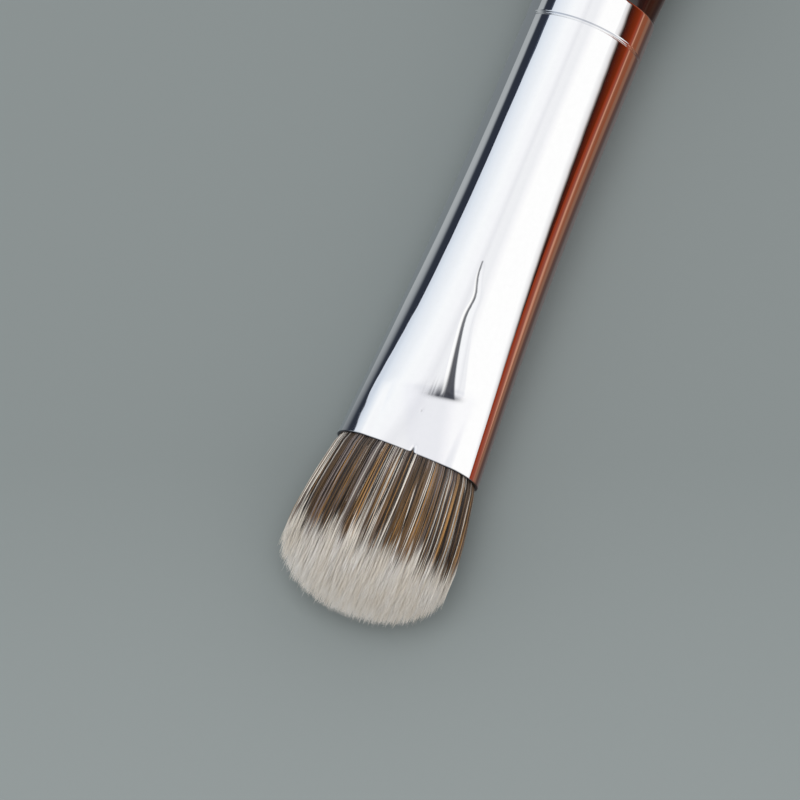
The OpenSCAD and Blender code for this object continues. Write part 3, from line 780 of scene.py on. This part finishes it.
def studio_card(name, corners, stops, axis, slant, low, high):
    """A flat card of the studio. Its glow is a ramp from low to high, in millimetres, along the axis plus a
    slant times the place along the brush. Only polished surfaces see it."""
    made, tree = blank_material(name)
    split = add(tree, "ShaderNodeSeparateXYZ", links={0: add(tree, "ShaderNodeTexCoord").outputs["Object"]})
    slanted = add(tree, "ShaderNodeMath", {"operation": "MULTIPLY_ADD", 1: slant},
                  {0: split.outputs["X"], 2: split.outputs[axis]}).outputs[0]
    share = add(tree, "ShaderNodeMapRange", {"From Min": low * MM, "From Max": high * MM},
                {"Value": slanted}).outputs[0]
    colour = add(tree, "ShaderNodeValToRGB", links={"Fac": share}, stops=stops).outputs["Color"]
    glow = add(tree, "ShaderNodeEmission", {"Strength": MIRRORED_LEVEL}, {"Color": colour})
    add(tree, "ShaderNodeOutputMaterial", links={"Surface": glow.outputs[0]})
    mesh = bpy.data.meshes.new(name)
    mesh.from_pydata([[c * MM for c in corner] for corner in corners], [], [tuple(range(len(corners)))])
    card = bpy.data.objects.new(name, mesh)
    bpy.context.scene.collection.objects.link(card)
    mesh.materials.append(made)
    card.visible_camera = card.visible_diffuse = card.visible_shadow = card.visible_transmission = False


def studio_cards():
    """What the sides of the tube mirror beyond the overhead light. On its left: a navy wall with a steep dip
    in its top, a strip that goes from light grey beside the brush to navy, and on it a darker grey wedge that
    narrows towards the hair. On its right: a wall whose end slants down towards the hair, red-brown, then
    near black, and white along the slant, a copper strip with one pale line across it, and a foot that goes
    from taupe to brown."""
    studio_card(
        "left_strip",
        level(ABOVE_FLOOR, [(-REACH, LEFT_WALL), (-REACH, -BESIDE), (REACH, -BESIDE), (REACH, LEFT_WALL)]),
        [(0, "#2f343e"), (0.36, "#494e56"), (0.6, "#70757a"), (0.8, "#92979b"), (1, "#a3a8ab")],
        axis="Y", slant=-1.0, low=-112, high=-76)
    studio_card(
        "left_foot",
        level(2 * ABOVE_FLOOR, [(-100, -70), (-100, -BESIDE), (110, -BESIDE), (110, -9.8), (67, -9.8)]),
        [(0, "#747a7e"), (1, "#767e81")],
        axis="X", slant=0.0, low=40, high=80)
    studio_card(
        "left_wall",
        upright(LEFT_WALL, [
            (-REACH, 0), (60, 0), (60, LEFT_HEIGHT), (42.5, LEFT_HEIGHT), (40.4, 29), (37.8, 13), (35.7, 4),
            (31, 31), (12, 36), (3, LEFT_HEIGHT), (-REACH, LEFT_HEIGHT)]),
        [(0, "#2c313b"), (0.8, "#2b303c"), (1, "#4a5363")],
        axis="Z", slant=0.0, low=0, high=42)
    studio_card(
        "right_strip",
        level(ABOVE_FLOOR, [(-REACH, 14), (-REACH, RIGHT_WALL), (REACH, RIGHT_WALL), (REACH, 14)]),
        [(0.02, "#884d36"), (0.055, "#8d5843"), (0.077, "#b98269"), (0.1, "#c38b73"), (0.123, "#9a5d4d"),
         (0.164, "#8c4638"), (0.236, "#904433"), (0.327, "#8f3820"), (0.59, "#86341e"), (1, "#7c2c14")],
        axis="Y", slant=0.5, low=40, high=150)
    studio_card(
        "right_foot",
        level(2 * ABOVE_FLOOR, [(-REACH, BESIDE), (-REACH, 15), (REACH, 15), (REACH, BESIDE)]),
        [(0, "#6a6463"), (0.2, "#655e5d"), (0.33, "#524340"), (0.48, "#5b403a"), (0.62, "#83604f"),
         (0.8, "#865c4a"), (1, "#884d36")],
        axis="Y", slant=0.0, low=4, high=16)
    studio_card(
        "right_wall",
        upright(RIGHT_WALL, [(-REACH, 0), (52.5, 0), (3, RIGHT_HEIGHT), (-REACH, RIGHT_HEIGHT)]),
        [(0, "#80301a"), (0.23, "#6a260f"), (0.47, "#481a10"), (0.585, "#2e1a15"), (0.655, "#8d8683"),
         (0.71, "#cfcccc"), (0.78, "#e5e4e5"), (0.88, "#f1f1f2"), (1, "#ffffff")],
        axis="Z", slant=2.0, low=0, high=105)


def paper_floor():
    """The table, covered in matt grey backdrop paper, with painted light that makes it grow a little lighter
    down the picture. Its tooth, about 0.5 mm wide, is only just there."""
    made, tree = blank_material("grey_backdrop_paper")
    where = add(tree, "ShaderNodeTexCoord").outputs["Object"]
    # Painted light: the paper's tone rises down the picture
    downhill = add(tree, "ShaderNodeVectorMath", {"operation": "DOT_PRODUCT", 1: DOWN_PICTURE},
                   {0: where}).outputs["Value"]
    down = add(tree, "ShaderNodeMapRange", {
        "interpolation_type": "SMOOTHERSTEP", "From Min": TONE_FROM, "From Max": TONE_TO},
        {"Value": downhill}).outputs[0]
    tooth = add(tree, "ShaderNodeTexNoise", {"Scale": 2000.0, "Detail": 3.0},
                {"Vector": where}).outputs["Fac"]
    place = add(tree, "ShaderNodeMath", {"operation": "MULTIPLY_ADD", 1: TOOTH_SHARE},
                {0: tooth, 2: down}).outputs[0]
    paper = add(tree, "ShaderNodeValToRGB", links={"Fac": place}, stops=[
        (0.0, "#868d8d"), (0.6, "#858c8c"), (1.0, "#8e9595")]).outputs["Color"]
    shader = add(tree, "ShaderNodeBsdfPrincipled", {"Roughness": 1.0, "Specular IOR Level": 0.0},
                 {"Base Color": paper})
    add(tree, "ShaderNodeOutputMaterial", links={"Surface": shader.outputs[0]})
    mesh = bpy.data.meshes.new("floor")
    corners = [(FLOOR_HALF * x, FLOOR_HALF * y, 0) for x, y in ((-1, -1), (1, -1), (1, 1), (-1, 1))]
    mesh.from_pydata(corners, [], [(0, 1, 2, 3)])
    mesh.materials.append(made)
    floor = bpy.data.objects.new("floor", mesh)
    bpy.context.scene.collection.objects.link(floor)


def studio_world():
    """The studio: even white light for matt surfaces, and for polished ones a broad overhead light that is
    white on the right and bluish on the left, with a faint grey seam near its middle, and dimmer towards both
    its ends."""
    world = bpy.data.worlds.new("studio")
    bpy.context.scene.world = world
    world.use_nodes = True
    tree = world.node_tree
    tree.nodes.clear()
    facing = add(tree, "ShaderNodeSeparateXYZ", links={
        0: add(tree, "ShaderNodeTexCoord").outputs["Generated"]})
    round_tube = add(tree, "ShaderNodeMath", {"operation": "ARCTAN2"},
                     {0: facing.outputs["Y"], 1: facing.outputs["Z"]}).outputs[0]
    across_share = add(tree, "ShaderNodeMapRange", {"From Min": -math.pi / 2, "From Max": math.pi / 2},
                       {"Value": round_tube}).outputs[0]
    across_light = add(tree, "ShaderNodeValToRGB", links={"Fac": across_share}, stops=[
        (0.06, "#ced6e2"), (0.12, "#dee5ee"), (0.17, "#e6ebf2"), (0.22, "#ecf0f5"), (0.265, "#f3f6fa"),
        (0.31, "#f8fafc"), (0.4, "#f6f7fa"), (0.45, "#e9eaee"), (0.48, "#f0f1f4"), (0.54, "#eff0f3"),
        (0.58, "#f8f8fa"), (0.62, "#ffffff"), (1.0, "#ffffff")]).outputs["Color"]
    along_share = add(tree, "ShaderNodeMapRange", {"From Min": -1.0},
                      {"Value": facing.outputs["X"]}).outputs[0]
    along_light = add(tree, "ShaderNodeValToRGB", links={"Fac": along_share}, stops=[
        (0.1, "#dfe1e5"), (0.3, "#ffffff"), (0.62, "#ffffff"), (0.75, "#eff0f3"),
        (0.92, "#c4c7cd")]).outputs["Color"]
    softbox = add(tree, "ShaderNodeMix", {"data_type": "RGBA", "blend_type": "MULTIPLY", 0: 1.0},
                  {6: across_light, 7: along_light}).outputs[2]
    ray = add(tree, "ShaderNodeLightPath")
    even = add(tree, "ShaderNodeBackground", {"Color": (1, 1, 1, 1), "Strength": EVEN_LEVEL})
    mirrored = add(tree, "ShaderNodeBackground", {"Strength": MIRRORED_LEVEL}, {"Color": softbox})
    both = add(tree, "ShaderNodeMixShader", links={
        0: ray.outputs["Is Glossy Ray"], 1: even.outputs[0], 2: mirrored.outputs[0]})
    add(tree, "ShaderNodeOutputWorld", links={"Surface": both.outputs[0]})


def key_light():
    """A soft square lamp high above the brush, a little past its tuft. It draws the shadow, and polished
    surfaces don't mirror it."""
    key = bpy.data.objects.new("key", bpy.data.lights.new("key", "AREA"))
    key.data.size = KEY_SIZE
    key.data.energy = KEY_POWER
    key.location = KEY_PLACE
    key.rotation_euler = (Vector(KEY_AIM) - Vector(key.location)).to_track_quat("-Z", "Y").to_euler()
    key.visible_glossy = False
    bpy.context.scene.collection.objects.link(key)


plated_ferrule().data.materials.append(plating_material())
lacquered_handle().data.materials.append(lacquer_material())
filament = filament_material()
for piece in hair_pieces(np.random.default_rng(SEED)):
    piece.data.materials.append(filament)
for node, made in (
    # Set yellow glue, cloudy where it foamed, in blotches of about 1 mm
    ("handle_glue", hidden_material(
        "set_wood_glue", "#c9b078", "#e3d3a4",
        scale=900.0, stretch=(1, 1, 1), roughness=0.35, depth=0.00002)),
    # Cast epoxy resin, amber, with slow darker clouds about 2 mm wide
    ("resin_plug", hidden_material(
        "cast_epoxy_resin", "#a87f3a", "#d3b069",
        scale=450.0, stretch=(1, 1, 1), roughness=0.15, depth=0.00001)),
    # Waxed cotton thread, whose fibres lie round the neck, about 0.1 mm apart
    ("tie_thread", hidden_material(
        "waxed_cotton", "#cfc6b0", "#f0eadb",
        scale=3000.0, stretch=(3, 1, 1), roughness=0.7, depth=0.00003)),
):
    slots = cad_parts[node].data.materials
    slots.clear()
    slots.append(made)

photo_camera()
studio_cards()
paper_floor()
studio_world()
key_light()
bpy.context.scene.view_settings.view_transform = "Standard"
